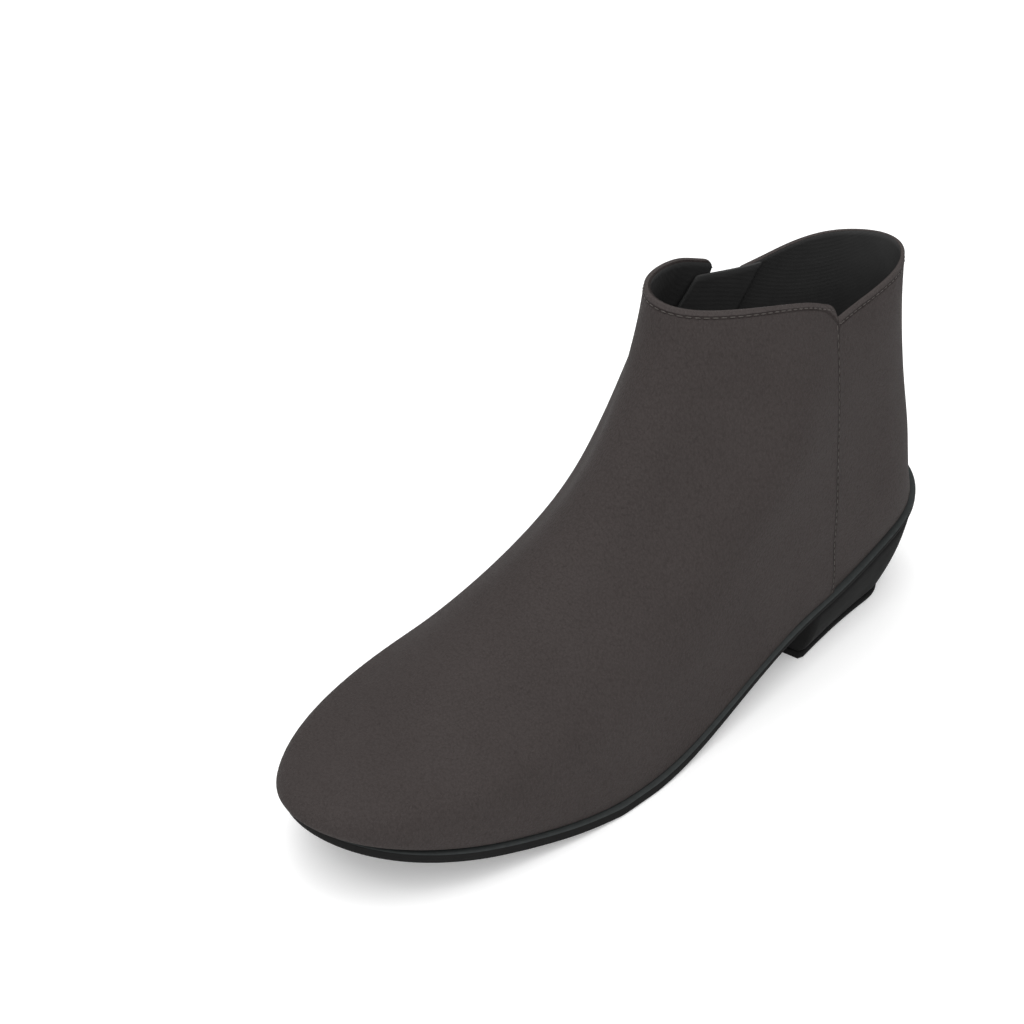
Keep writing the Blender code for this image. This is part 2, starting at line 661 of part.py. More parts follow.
# Outline of the pull: place along it, its half-width and the half-width of its windows
PULL_OUTLINE = (
    (-PIN_HALF, 3.2, 2.3),
    (PIN_HALF, 3.2, 2.3),
    (6.8, 3.4, 2.3),
    (18.0, 3.4, 2.1),
    (24.2, 3.4, 2.1),
    (26.4, 2.7, 2.1),
)


def zip_pull():
    """Flat brass tab, open round the bridge and near its foot, on a pin under the bridge."""
    bm = bmesh.new()
    lines = []
    for x, half, slot in PULL_OUTLINE:
        lines.append([[bm.verts.new((x * MM, y * MM, z * MM)) for y in (-half, -slot, slot, half)]
                      for z in (PIN_HIGH - PIN_HALF, PIN_HIGH + PIN_HALF)])
    end = len(lines) - 1
    open_cells = {(1, 1), (3, 1)}
    for i in range(end):
        for j in range(3):
            if (i, j) in open_cells:
                continue
            for layer in (0, 1):
                a, b = lines[i][layer], lines[i + 1][layer]
                bm.faces.new((a[j], a[j + 1], b[j + 1], b[j]))
    for i, j in open_cells:
        ring = [(i, j), (i, j + 1), (i + 1, j + 1), (i + 1, j)]
        for (a, b), (c, d) in zip(ring, ring[1:] + ring[:1]):
            bm.faces.new((lines[a][0][b], lines[c][0][d], lines[c][1][d], lines[a][1][b]))
    rim = [(0, j) for j in range(4)] + [(i, 3) for i in range(1, end + 1)]
    rim += [(end, j) for j in (2, 1, 0)] + [(i, 0) for i in range(end - 1, 0, -1)]
    for (a, b), (c, d) in zip(rim, rim[1:] + rim[:1]):
        bm.faces.new((lines[a][0][b], lines[c][0][d], lines[c][1][d], lines[a][1][b]))
    return placed("zip_pull", bm, BRASS, PIN_HIGH)


outsole()
heel()
heel_lift()
insole()
upper()
zip_tape()
zip_guard()
zip_teeth()
zip_slider()
zip_pull()
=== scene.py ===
"""A left ankle boot in dark grained leather, with a low block heel and a brass zip on its inner side."""

import json
import math

import bmesh
import bpy
import numpy as np
from mathutils import Matrix, Vector
from mathutils.bvhtree import BVHTree
from mathutils.kdtree import KDTree


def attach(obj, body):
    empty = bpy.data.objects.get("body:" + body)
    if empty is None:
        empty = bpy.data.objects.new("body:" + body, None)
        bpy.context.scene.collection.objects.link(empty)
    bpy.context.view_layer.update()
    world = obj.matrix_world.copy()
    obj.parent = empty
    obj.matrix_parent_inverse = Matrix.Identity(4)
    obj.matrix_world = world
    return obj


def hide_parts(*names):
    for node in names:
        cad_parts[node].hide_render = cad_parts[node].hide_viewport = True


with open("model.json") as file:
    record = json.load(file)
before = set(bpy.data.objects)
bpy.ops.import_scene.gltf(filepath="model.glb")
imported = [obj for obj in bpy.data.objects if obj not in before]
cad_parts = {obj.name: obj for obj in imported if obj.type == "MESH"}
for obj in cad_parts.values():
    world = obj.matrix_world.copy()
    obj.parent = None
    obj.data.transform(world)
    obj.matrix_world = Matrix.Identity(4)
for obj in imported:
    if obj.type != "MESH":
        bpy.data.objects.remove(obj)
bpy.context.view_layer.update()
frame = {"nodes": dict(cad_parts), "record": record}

# Outsole: a thin black rubber plate, moulded with its narrow welt, its sloped heel seat and its toe
# spring. It is cemented under the lasted upper; its edge is trimmed and inked, its tread finely ribbed.
MM = 0.001
RIB_PITCH = 4 * MM
WELD = 0.002 * MM  # corners of the CAD triangles that are closer than this are one
LEVEL_FACE = 0.5  # share of a face's normal that points up or down
EDGE, TREAD, WELT = 0, 1, 2


def linear(hex_colour):
    """An sRGB hex colour as linear red, green, blue and alpha."""
    parts = [int(hex_colour[i:i + 2], 16) / 255 for i in (1, 3, 5)]
    return tuple(c / 12.92 if c <= 0.04045 else ((c + 0.055) / 1.055) ** 2.4 for c in parts) + (1.0,)


def add(tree, kind, settings, inputs):
    """Adds a node with its settings; an input is a value or the socket that feeds it."""
    node = tree.nodes.new(kind)
    for key, value in settings.items():
        setattr(node, key, value)
    for key, value in inputs.items():
        if isinstance(value, bpy.types.NodeSocket):
            tree.links.new(value, node.inputs[key])
        else:
            node.inputs[key].default_value = value
    return node


def finish(name, roughness, gloss, dark, light, strength, depth):
    """A material that runs from a dark to a light colour and stands up in relief. Gives back the material,
    its tree, the piece's own coordinates, and the sockets that take the tone and the height."""
    material = bpy.data.materials.new(name)
    material.use_nodes = True
    tree = material.node_tree
    shader = tree.nodes["Principled BSDF"]
    shader.inputs["Roughness"].default_value = roughness
    shader.inputs["Specular IOR Level"].default_value = gloss
    blend = add(tree, "ShaderNodeMix", {"data_type": "RGBA"}, {6: linear(dark), 7: linear(light)})
    bump = add(tree, "ShaderNodeBump", {}, {"Strength": strength, "Distance": depth})
    tree.links.new(blend.outputs[2], shader.inputs["Base Color"])
    tree.links.new(bump.outputs["Normal"], shader.inputs["Normal"])
    place = add(tree, "ShaderNodeTexCoord", {}, {}).outputs["Object"]
    return material, tree, place, blend.inputs[0], bump.inputs["Height"]


def solid_of(node):
    """A merged copy of a CAD node, with quads in place of its triangles."""
    bm = bmesh.new()
    bm.from_mesh(frame["nodes"][node].data)
    bmesh.ops.remove_doubles(bm, verts=bm.verts, dist=WELD)
    bmesh.ops.join_triangles(bm, faces=bm.faces, angle_face_threshold=math.pi,
                             angle_shape_threshold=math.pi)
    bm.normal_update()
    return bm


def crease(bm, angle, amount):
    """Holds the edges that are sharper than an angle in degrees through the smoothing."""
    layer = bm.edges.layers.float.new("crease_edge")
    for edge in bm.edges:
        if edge.calc_face_angle(0.0) > math.radians(angle):
            edge[layer] = amount


def piece(name, bm, materials, node=None, body="boot", levels=0):
    """Makes the object of one piece, smooths it, ties it to the body and hides the CAD node it stands for.
    """
    mesh = bpy.data.meshes.new(name)
    bm.to_mesh(mesh)
    bm.free()
    mesh.shade_smooth()
    for material in materials:
        mesh.materials.append(material)
    made = bpy.data.objects.new(name, mesh)
    bpy.context.scene.collection.objects.link(made)
    if levels:
        smooth = made.modifiers.new("smooth", "SUBSURF")
        smooth.levels = levels
        smooth.render_levels = levels
    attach(made, body)
    if node:
        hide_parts(node)
    return made


# Moulded rubber: matt black, with a faint mottle and the fine pits of the mould.
rubber, tree, place, tone, height = finish(
    "moulded_black_rubber", roughness=0.75, gloss=0.05, dark="#171717", light="#202020",
    strength=0.18, depth=0.2 * MM)
mottle = add(tree, "ShaderNodeTexNoise", {}, {"Vector": place, "Scale": 1 / (9 * MM), "Detail": 4.0})
pits = add(tree, "ShaderNodeTexNoise", {}, {"Vector": place, "Scale": 1 / (0.6 * MM), "Detail": 2.0})
tree.links.new(mottle.outputs["Fac"], tone)
tree.links.new(pits.outputs["Fac"], height)

# Ribbed rubber: the same rubber on the tread, with shallow ribs across the foot.
tread, tree, place, tone, height = finish(
    "ribbed_black_rubber", roughness=0.75, gloss=0.05, dark="#141414", light="#222222",
    strength=0.8, depth=0.5 * MM)
ribs = add(tree, "ShaderNodeTexWave", {"bands_direction": "X"},
           {"Vector": place, "Scale": math.pi / (10 * RIB_PITCH), "Distortion": 0.0})
tree.links.new(ribs.outputs["Fac"], tone)
tree.links.new(ribs.outputs["Fac"], height)

# Top of the welt: the same rubber painted paler on the faces that look up, a painted highlight along the
# sole's rim, with a faint mottle.
welt_highlight, tree, place, tone, height = finish(
    "black_rubber_painted_highlight", roughness=0.7, gloss=0.1, dark="#2f3232", light="#3c3f3f",
    strength=0.15, depth=0.2 * MM)
highlight_mottle = add(tree, "ShaderNodeTexNoise", {}, {"Vector": place, "Scale": 1 / (2 * MM), "Detail": 3.0})
tree.links.new(highlight_mottle.outputs["Fac"], tone)
tree.links.new(highlight_mottle.outputs["Fac"], height)

bm = solid_of("outsole")
crease(bm, angle=25, amount=0.9)
# Faces that look up take the painted highlight of the welt, faces that look down take the ribbed tread, and
# the rest take the plain edge.
for face in bm.faces:
    facing = face.normal.z
    face.material_index = TREAD if facing < -LEVEL_FACE else WELT if facing > LEVEL_FACE else EDGE
piece("rubber_outsole", bm, (rubber, tread, welt_highlight), "outsole", levels=2)

# Heel: a low block of stacked board, tapered to its foot and painted black, nailed under the seat. A thin
# rubber lift is nailed under the block.
BOARD_THICK = 4 * MM

# Painted stack: matt black like the sole, with faint level lines where the boards meet.
heel_paint, tree, place, tone, height = finish(
    "black_painted_heel_stack", roughness=0.75, gloss=0.04, dark="#191919", light="#1f1f1f",
    strength=0.1, depth=0.12 * MM)
cloud = add(tree, "ShaderNodeTexNoise", {}, {"Vector": place, "Scale": 1 / (6 * MM), "Detail": 3.0})
boards = add(tree, "ShaderNodeTexWave", {"bands_direction": "Z"},
             {"Vector": place, "Scale": math.pi / (10 * BOARD_THICK), "Distortion": 0.3})
tree.links.new(cloud.outputs["Fac"], tone)
tree.links.new(boards.outputs["Fac"], height)

bm = solid_of("heel")
crease(bm, angle=25, amount=0.85)
piece("heel_block", bm, (heel_paint,), "heel", levels=2)

bm = solid_of("heel_lift")
crease(bm, angle=25, amount=0.85)
for face in bm.faces:
    face.material_index = TREAD if face.normal.z < -LEVEL_FACE else EDGE
piece("rubber_lift", bm, (rubber, tread), "heel_lift", levels=2)

# Insole: a board covered with a black sock of lining cloth, laid on the outsole inside the upper.
# The same cloth lines the inside of the upper and the guard behind the zip.
TWILL_PITCH = 0.8 * MM

# Lining cloth: matt black twill, painted greyish as painted fill light for the dim inside of the boot. Its
# threads are drawn 0.8 mm apart, coarser than real, to show.
lining, tree, place, tone, height = finish(
    "black_lining_cloth", roughness=0.85, gloss=0.1, dark="#393939", light="#444444",
    strength=0.15, depth=0.15 * MM)
turned = add(tree, "ShaderNodeMapping", {}, {"Vector": place, "Rotation": (0.5, 0.6, 0.4)})
threads = add(tree, "ShaderNodeTexWave", {"bands_direction": "DIAGONAL"},
              {"Vector": turned.outputs["Vector"], "Scale": math.pi / (10 * TWILL_PITCH),
               "Distortion": 0.5})
cloud = add(tree, "ShaderNodeTexNoise", {}, {"Vector": place, "Scale": 1 / (7 * MM), "Detail": 3.0})
tree.links.new(cloud.outputs["Fac"], tone)
tree.links.new(threads.outputs["Fac"], height)

bm = solid_of("insole")
crease(bm, angle=25, amount=0.7)
piece("insole_sock", bm, (lining,), "insole", levels=2)

# Upper: the vamp and the front of the shaft are one panel of leather, lapped over the quarter at the outer
# seam and below the zip, and lasted over the insole. The top edge is folded, and the inside is lined.
SHAFT_MIDDLE = Vector((65 * MM, -2 * MM))
SHAFT_FROM = 80 * MM
COLLAR_FROM = 125 * MM
SLOT_FROM = 42 * MM
ZIP_SIDE = 10 * MM
LAP_STEP = 1.3 * MM  # the rim of a lapped panel is narrower than this
LAP_STEEP = 0.4  # and rises by at least this share of its length
RIM_ANGLE = math.radians(40)
RIM_UP = 0.25
PATCH_ANGLE = math.radians(50)
PATCH_FACES = 300
PATH_STEP = 0.4 * MM
PEBBLE = 0.8 * MM
PEBBLE_DEEP = 0.8
CLOUD_RANGE = (0.36, 0.64)
FOLD_WIDE = 2.1 * MM
SEAM_STITCH = 1.5 * MM
ZIP_STITCHES = (1.6 * MM, 4.2 * MM)
CHANNEL_DEEP = 1.8
CHANNEL_HALF = (0.1 * MM, 0.8 * MM)

# Grained leather: dark brown-black calf with a fine pebble of 0.8 mm, darker in its valleys and matt.
# The fold at the top edge is smoother and painted paler, a painted highlight along the edge, and each row
# of stitches lies in a shallow channel.
leather, tree, place, tone, height = finish(
    "dark_grained_leather", roughness=0.72, gloss=0.05, dark="#2d2827", light="#474241",
    strength=1.0, depth=0.32 * MM)
drawn = add(tree, "ShaderNodeMapping", {}, {"Vector": place, "Scale": (1.0, 1.0, 0.6)}).outputs["Vector"]
warp = add(tree, "ShaderNodeTexNoise", {}, {"Vector": drawn, "Scale": 1 / (2.5 * MM), "Detail": 2.0})
bent = add(tree, "ShaderNodeVectorMath", {"operation": "MULTIPLY_ADD"},
           {0: warp.outputs["Color"], 1: (0.9 * MM,) * 3, 2: drawn})
pebble = add(tree, "ShaderNodeTexVoronoi", {"feature": "SMOOTH_F1"},
             {"Vector": bent.outputs["Vector"], "Scale": 1 / PEBBLE, "Smoothness": 0.4})
pores = add(tree, "ShaderNodeTexNoise", {}, {"Vector": drawn, "Scale": 1 / (0.4 * MM), "Detail": 2.0})
grain = add(tree, "ShaderNodeMath", {"operation": "MULTIPLY_ADD"},
            {0: pebble.outputs["Distance"], 1: -PEBBLE_DEEP, 2: pores.outputs["Fac"]}).outputs["Value"]
below_top = add(tree, "ShaderNodeAttribute", {"attribute_name": "below_top"}, {}).outputs["Fac"]
from_seam = add(tree, "ShaderNodeAttribute", {"attribute_name": "from_seam"}, {}).outputs["Fac"]
from_slot = add(tree, "ShaderNodeAttribute", {"attribute_name": "from_slot"}, {}).outputs["Fac"]
channel = None
for line, middle in ((below_top, FOLD_WIDE), (from_seam, SEAM_STITCH), (from_slot, ZIP_STITCHES[0]),
                     (from_slot, ZIP_STITCHES[1])):
    aside = add(tree, "ShaderNodeMath", {"operation": "SUBTRACT"}, {0: line, 1: middle})
    away = add(tree, "ShaderNodeMath", {"operation": "ABSOLUTE"}, {0: aside.outputs["Value"]})
    if channel:
        away = add(tree, "ShaderNodeMath", {"operation": "MINIMUM"},
                   {0: channel, 1: away.outputs["Value"]})
    channel = away.outputs["Value"]
plain = add(tree, "ShaderNodeMapRange", {"interpolation_type": "SMOOTHSTEP"},
            {"Value": channel, "From Min": CHANNEL_HALF[0], "From Max": CHANNEL_HALF[1]}).outputs["Result"]
fold_highlight = add(tree, "ShaderNodeMapRange", {},
           {"Value": below_top, "From Min": FOLD_WIDE, "From Max": 0.6 * FOLD_WIDE}).outputs["Result"]
raised = add(tree, "ShaderNodeMath", {"operation": "MULTIPLY_ADD"}, {0: plain, 1: CHANNEL_DEEP, 2: grain})
tree.links.new(raised.outputs["Value"], height)
cloud = add(tree, "ShaderNodeTexNoise", {}, {"Vector": place, "Scale": 1 / (22 * MM), "Detail": 4.0})
faint = add(tree, "ShaderNodeMapRange", {},
            {"Value": cloud.outputs["Fac"], "To Min": CLOUD_RANGE[0], "To Max": CLOUD_RANGE[1]})
shade = faint.outputs["Result"]
# The tone takes the grain, the stitch channels and a painted highlight along the folded top edge.
for part, share in ((grain, 0.45), (plain, 0.45), (fold_highlight, 0.35)):
    lit = add(tree, "ShaderNodeMath", {"operation": "MULTIPLY_ADD"}, {0: part, 1: share, 2: shade})
    shade = lit.outputs["Value"]
spread = add(tree, "ShaderNodeMapRange", {}, {"Value": shade, "From Min": 0.35, "From Max": 1.5})
tree.links.new(spread.outputs["Result"], tone)


def faces_inside(bm):
    """Faces of the inner wall: the largest patches without a sharp edge that look at the leg."""
    left = set(bm.faces)
    inner = set()
    while left:
        patch = [left.pop()]
        for face in patch:
            for edge in face.edges:
                if edge.calc_face_angle(0.0) < PATCH_ANGLE:
                    near = [f for f in edge.link_faces if f in left]
                    left.difference_update(near)
                    patch.extend(near)
        shaft = [f for f in patch if f.calc_center_median().z > SHAFT_FROM]
        seen = sum(f.normal.xy.dot(f.calc_center_median().xy - SHAFT_MIDDLE) for f in shaft)
        if len(patch) > PATCH_FACES and seen < 0:
            inner.update(patch)
    return inner


def runs_of(edges):
    """The runs of joined edges as points in order, each from its highest end and upwards at a fork."""
    near = {}
    for edge in edges:
        for vert in edge.verts:
            near.setdefault(vert, []).append(edge.other_vert(vert))
    left = set(near)
    runs = []
    while left:
        ends = [v for v in left if len(near[v]) == 1] or left
        following = [max(ends, key=lambda v: v.co.z)]
        run = []
        while following:
            run.append(max(following, key=lambda v: v.co.z))
            left.discard(run[-1])
            following = [v for v in near[run[-1]] if v in left]
        runs.append([vert.co.copy() for vert in run])
    return [run for run in runs if len(run) > 3]


def even(path, step):
    """Points at even steps along a path."""
    gone = np.concatenate([[0], np.cumsum([(b - a).length for a, b in zip(path, path[1:])])])
    at = np.linspace(0, gone[-1], max(2, round(gone[-1] / step) + 1))
    return [Vector(p) for p in zip(*[np.interp(at, gone, [p[i] for p in path]) for i in range(3)])]


def near_points(paths):
    """A search tree over points close together on the paths."""
    points = [point for path in paths for point in even(path, PATH_STEP)]
    found = KDTree(len(points))
    for i, point in enumerate(points):
        found.insert(point, i)
    found.balance()
    return found


bm = solid_of("upper")
crease(bm, angle=40, amount=0.6)
inner_faces = faces_inside(bm)
top_edges = []
slot_edges = []
lap_edges = []
for edge in bm.edges:
    if edge.calc_face_angle_signed(0.0) < RIM_ANGLE or any(f in inner_faces for f in edge.link_faces):
        continue
    middle = (edge.verts[0].co + edge.verts[1].co) / 2
    rim = min(edge.link_faces, key=lambda f: f.calc_area() / f.calc_perimeter())
    width = rim.calc_area() / edge.calc_length()
    steep = abs(edge.verts[0].co.z - edge.verts[1].co.z) > LAP_STEEP * edge.calc_length()
    if width < LAP_STEP and steep:
        lap_edges.append(edge)
    elif middle.z > COLLAR_FROM and rim.normal.z > RIM_UP:
        top_edges.append(edge)
    elif middle.y > ZIP_SIDE and middle.z > SLOT_FROM:
        slot_edges.append(edge)
top_runs = runs_of(top_edges)
slot_runs = runs_of(slot_edges)
lap_runs = runs_of(lap_edges)
for face in bm.faces:
    face.material_index = int(face in inner_faces)
lines = {"below_top": near_points(top_runs), "from_slot": near_points(slot_runs),
         "from_seam": near_points(lap_runs)}
layers = {name: bm.verts.layers.float.new(name) for name in lines}
for vert in bm.verts:
    for name, found in lines.items():
        point, _, distance = found.find(vert.co)
        behind = name == "from_seam" and vert.co.x > point.x + 0.1 * MM
        vert[layers[name]] = -distance if behind else distance
upper = piece("upper_leather", bm, (leather, lining), "upper", levels=2)

# Stitches: short waxed threads in one row under the folded top edge, one along the outer seam, two along
# the seam below the zip and two round the zip. They are a little paler than the leather and sink into it.
SEAM_SECOND = 3.6 * MM
STITCH_PITCH = 2.8 * MM
STITCH_LONG = 2.1 * MM
STITCH_WIDE = 0.42 * MM
STITCH_FLAT = 0.8
STITCH_LIFT = 0.05 * MM
DOWN = Vector((0, 0, -1))
TO_TOE = Vector((-1, 0, 0))
SLOT_MIDDLE = Vector((53 * MM, 28 * MM, 90 * MM))

# Waxed thread: twisted polyester with a low sheen, greyer and paler than the leather.
thread, tree, place, tone, height = finish(
    "waxed_thread", roughness=0.6, gloss=0.2, dark="#3f3b39", light="#5a5552",
    strength=0.3, depth=0.1 * MM)
twist = add(tree, "ShaderNodeTexNoise", {}, {"Vector": place, "Scale": 1 / (0.4 * MM), "Detail": 1.0})
tree.links.new(twist.outputs["Fac"], tone)
tree.links.new(twist.outputs["Fac"], height)

bpy.context.view_layer.update()
shown = upper.evaluated_get(bpy.context.evaluated_depsgraph_get()).to_mesh()
outer = [tuple(p.vertices) for p in shown.polygons if p.material_index == 0]
skin = BVHTree.FromPolygons([v.co.copy() for v in shown.vertices], outer)


def beside(path, distance, towards):
    """A path on the leather at a distance from an edge, on the side that a direction or point lies on."""
    path = even(path, MM)
    moved = []
    for i, point in enumerate(path):
        along = (path[min(i + 2, len(path) - 1)] - path[max(i - 2, 0)]).normalized()
        way = towards(point)
        across = (way - along * way.dot(along)).normalized()
        moved.append(skin.find_nearest(point + across * distance)[0])
    return moved


rows = [beside(run, FOLD_WIDE, lambda point: DOWN) for run in top_runs]
rows += [beside(run, SEAM_STITCH, lambda point: TO_TOE) for run in lap_runs]
rows += [beside(run, SEAM_SECOND, lambda point: TO_TOE) for run in lap_runs if run[0].y > 0]
rows += [beside(run, gap, lambda point: point - SLOT_MIDDLE) for run in slot_runs for gap in ZIP_STITCHES]
bm = bmesh.new()
for row in rows:
    points = even(row, STITCH_PITCH)
    for a, b in zip(points, points[1:]):
        spot, normal, _, _ = skin.find_nearest((a + b) / 2)
        along = (b - a).normalized()
        across = normal.cross(along).normalized()
        axes = (normal * STITCH_WIDE * STITCH_FLAT / 2, across * STITCH_WIDE / 2, along * STITCH_LONG / 2)
        stand = Matrix.Translation(spot + normal * STITCH_LIFT) @ Matrix(axes).transposed().to_4x4()
        bmesh.ops.create_uvsphere(bm, u_segments=6, v_segments=5, radius=1.0, matrix=stand)
bmesh.ops.recalc_face_normals(bm, faces=bm.faces)
piece("stitches", bm, (thread,))

# Zip tape and guard: a grey woven tape is sewn behind the slot, and a strip of lining cloth behind it keeps
# the metal off the ankle.
TAPE_RIB = 0.9 * MM
GUARD_RAISE = 1.6 * MM
GUARD_TOP = 130 * MM
ZIP_FACING = 0.3

# Woven tape: matt grey cloth with fine ribs across it, drawn 0.9 mm apart, coarser than real, to show.
tape_cloth, tree, place, tone, height = finish(
    "grey_woven_tape", roughness=0.85, gloss=0.1, dark="#3d3d42", light="#58585f",
    strength=0.4, depth=0.2 * MM)
weave = add(tree, "ShaderNodeTexWave", {"bands_direction": "Z"},
            {"Vector": place, "Scale": math.pi / (10 * TAPE_RIB), "Distortion": 0.6})
tree.links.new(weave.outputs["Fac"], tone)
tree.links.new(weave.outputs["Fac"], height)

# Backing cloth: the side of the guard that faces the zip, plain and nearly black.
backing, tree, place, tone, height = finish(
    "black_backing_cloth", roughness=0.85, gloss=0.05, dark="#1a1a1a", light="#242424",
    strength=0.3, depth=0.15 * MM)
fibres = add(tree, "ShaderNodeTexNoise", {}, {"Vector": place, "Scale": 1 / (0.7 * MM), "Detail": 3.0})
tree.links.new(fibres.outputs["Fac"], tone)
tree.links.new(fibres.outputs["Fac"], height)

bm = solid_of("zip_tape")
crease(bm, angle=40, amount=0.8)
piece("woven_tape", bm, (tape_cloth,), "zip_tape", levels=2)

bm = solid_of("zip_guard")
crease(bm, angle=40, amount=0.8)
guard_top = [v for v in bm.verts if v.co.z > GUARD_TOP]
bmesh.ops.translate(bm, verts=guard_top, vec=(0, 0, GUARD_RAISE))
for face in bm.faces:
    face.material_index = int(face.normal.y > ZIP_FACING)
piece("cloth_guard", bm, (lining, backing), "zip_guard", levels=2)

# Zip chain: pressed brass teeth clamped on the edges of the two tapes, the left ones set between the right
# ones, with a stop across both tapes at the foot.
TOOTH_PITCH = 2.42 * MM
TOOTH_SIZE = (3.1 * MM, 1.1 * MM, 1.45 * MM)
TOOTH_OFFSET = 1.15 * MM
TOOTH_BEVEL = 0.28 * MM
STOP_SIZE = (5.6 * MM, 2.0 * MM, 1.5 * MM)
BEND_ORDER = 5
LINE_POINTS = 120

# Brass: bright yellow metal, with a faint tarnish that breaks its shine.
brass, tree, place, tone, height = finish(
    "polished_brass", roughness=0.25, gloss=0.5, dark="#b8952f", light="#e0c25a",
    strength=0.05, depth=0.1 * MM)
tree.nodes["Principled BSDF"].inputs["Metallic"].default_value = 1.0
tarnish = add(tree, "ShaderNodeTexNoise", {}, {"Vector": place, "Scale": 1 / (2.5 * MM), "Detail": 3.0})
dents = add(tree, "ShaderNodeTexNoise", {}, {"Vector": place, "Scale": 1 / (0.8 * MM), "Detail": 2.0})
tree.links.new(tarnish.outputs["Fac"], tone)
tree.links.new(dents.outputs["Fac"], height)

chain = np.array([v.co for v in frame["nodes"]["zip_teeth"].data.vertices])
low, high = chain[:, 2].min(), chain[:, 2].max()
bends = [np.polyfit(chain[:, 2] - low, chain[:, axis], BEND_ORDER) for axis in (0, 1)]
heights = np.linspace(low, high, LINE_POINTS) - low
middle_line = [Vector((*[np.polyval(bend, z) for bend in bends], z + low)) for z in heights]
tape_bm = solid_of("zip_tape")
tape_skin = BVHTree.FromBMesh(tape_bm)
tape_bm.free()


def tooth_frame(line, i):
    """Frame on the tape at a point of the chain's middle line: across, along and outward."""
    along = (line[min(i + 1, len(line) - 1)] - line[max(i - 1, 0)]).normalized()
    outside = line[i] + (line[i].xy - SHAFT_MIDDLE).normalized().to_3d() * MM
    outward = tape_skin.find_nearest(outside)[1]
    outward = (outward - along * outward.dot(along)).normalized()
    axes = Matrix((along.cross(outward), along, outward)).transposed().to_4x4()
    return Matrix.Translation(line[i]) @ axes


bm = bmesh.new()
stations = even(middle_line, TOOTH_PITCH / 2)
for i in range(1, len(stations)):
    side = -1 if i % 2 else 1
    made = bmesh.ops.create_cube(bm, size=1.0)["verts"]
    bmesh.ops.scale(bm, verts=made, vec=TOOTH_SIZE)
    bmesh.ops.translate(bm, verts=made, vec=(side * TOOTH_OFFSET, 0, 0))
    bmesh.ops.transform(bm, matrix=tooth_frame(stations, i), verts=made)
made = bmesh.ops.create_cube(bm, size=1.0)["verts"]
bmesh.ops.scale(bm, verts=made, vec=STOP_SIZE)
bmesh.ops.transform(bm, matrix=tooth_frame(stations, 0), verts=made)
bmesh.ops.bevel(bm, geom=bm.edges[:], affect="EDGES", offset=TOOTH_BEVEL, segments=1, profile=0.5,
                material=-1)
piece("brass_chain", bm, (brass,), "zip_teeth")

# Zip slider: a cast brass body that straddles the chain at its top, with a bridge for the pull's pin. The
# body narrows to its lower end, and the bridge is a strap bent over it.
PIN_HIGH = 2.3 * MM
BODY_HALF = 5.4 * MM
BODY_HALF_WIDE = 4.1 * MM
BODY_LIFT = 0.15 * MM
BODY_THICK = 1.3 * MM
BODY_BEVEL = 0.4 * MM
BODY_END = 0.62  # width of the body's lower end as a share of its full width
BODY_TAPER = 1.15
BODY_WIDEST = 0.25
BODY_ROUND = 0.75
BODY_RIM = math.radians(50)
BRIDGE_REACH = 3.9 * MM
BRIDGE_HALF = (0.4 * MM, 1.3 * MM)
BRIDGE_FOOT = 1.3 * MM
BRIDGE_FLAT_FROM = 1.5 * MM
BRIDGE_FLAT = 0.56
hinge = frame["record"]["behaviour"]["joints"][0]
pin = Vector(hinge["pos_m"])
pull_points = [v.co for v in frame["nodes"]["zip_pull"].data.vertices]
foot = sum(pull_points, Vector()) / len(pull_points)
across = -Vector(hinge["axis"]).normalized()
hang = (foot - pin - across * (foot - pin).dot(across)).normalized()
pull_frame = Matrix.Translation(pin) @ Matrix((hang, across, hang.cross(across))).transposed().to_4x4()
slider_frame = pull_frame @ Matrix.Translation((0, 0, -PIN_HIGH))

bm = bmesh.new()
shield = bmesh.ops.create_grid(bm, x_segments=6, y_segments=2, size=1.0)["verts"]
bmesh.ops.scale(bm, verts=shield, vec=(BODY_HALF, BODY_HALF_WIDE, 1))
bmesh.ops.translate(bm, verts=shield, vec=(0, 0, BODY_LIFT))
for vert in shield:
    share = BODY_TAPER * vert.co.x / BODY_HALF + BODY_WIDEST
    vert.co.y *= BODY_END + (1 - BODY_END) * math.sqrt(max(0.0, 1 - BODY_ROUND * share ** 2))
grown = bmesh.ops.extrude_face_region(bm, geom=bm.faces[:])["geom"]
top = [i for i in grown if isinstance(i, bmesh.types.BMVert)]
bmesh.ops.translate(bm, verts=top, vec=(0, 0, BODY_THICK))
bmesh.ops.recalc_face_normals(bm, faces=bm.faces)
rims = [e for e in bm.edges if e.calc_face_angle(0.0) > BODY_RIM]
bmesh.ops.bevel(bm, geom=rims, affect="EDGES", offset=BODY_BEVEL, segments=3, profile=0.5, material=-1)
strap = bmesh.ops.create_grid(bm, x_segments=1, y_segments=2, size=1.0)
bmesh.ops.scale(bm, verts=strap["verts"], vec=(*BRIDGE_HALF, 1))
bmesh.ops.translate(bm, verts=strap["verts"], vec=(BRIDGE_REACH, 0, BRIDGE_FOOT))
strap_faces = [f for f in bm.faces if f.verts[0] in strap["verts"]]
bmesh.ops.spin(bm, geom=strap_faces, cent=(0, 0, BRIDGE_FOOT), axis=(0, 1, 0), angle=-math.pi, steps=12)
arch = [v for v in bm.verts if v.co.z > BRIDGE_FLAT_FROM]
bmesh.ops.scale(bm, verts=arch, vec=(1, 1, BRIDGE_FLAT),
                space=Matrix.Translation((0, 0, -BRIDGE_FLAT_FROM)))
bmesh.ops.recalc_face_normals(bm, faces=bm.faces)
bmesh.ops.transform(bm, matrix=slider_frame, verts=bm.verts)
piece("brass_slider", bm, (brass,), "zip_slider")

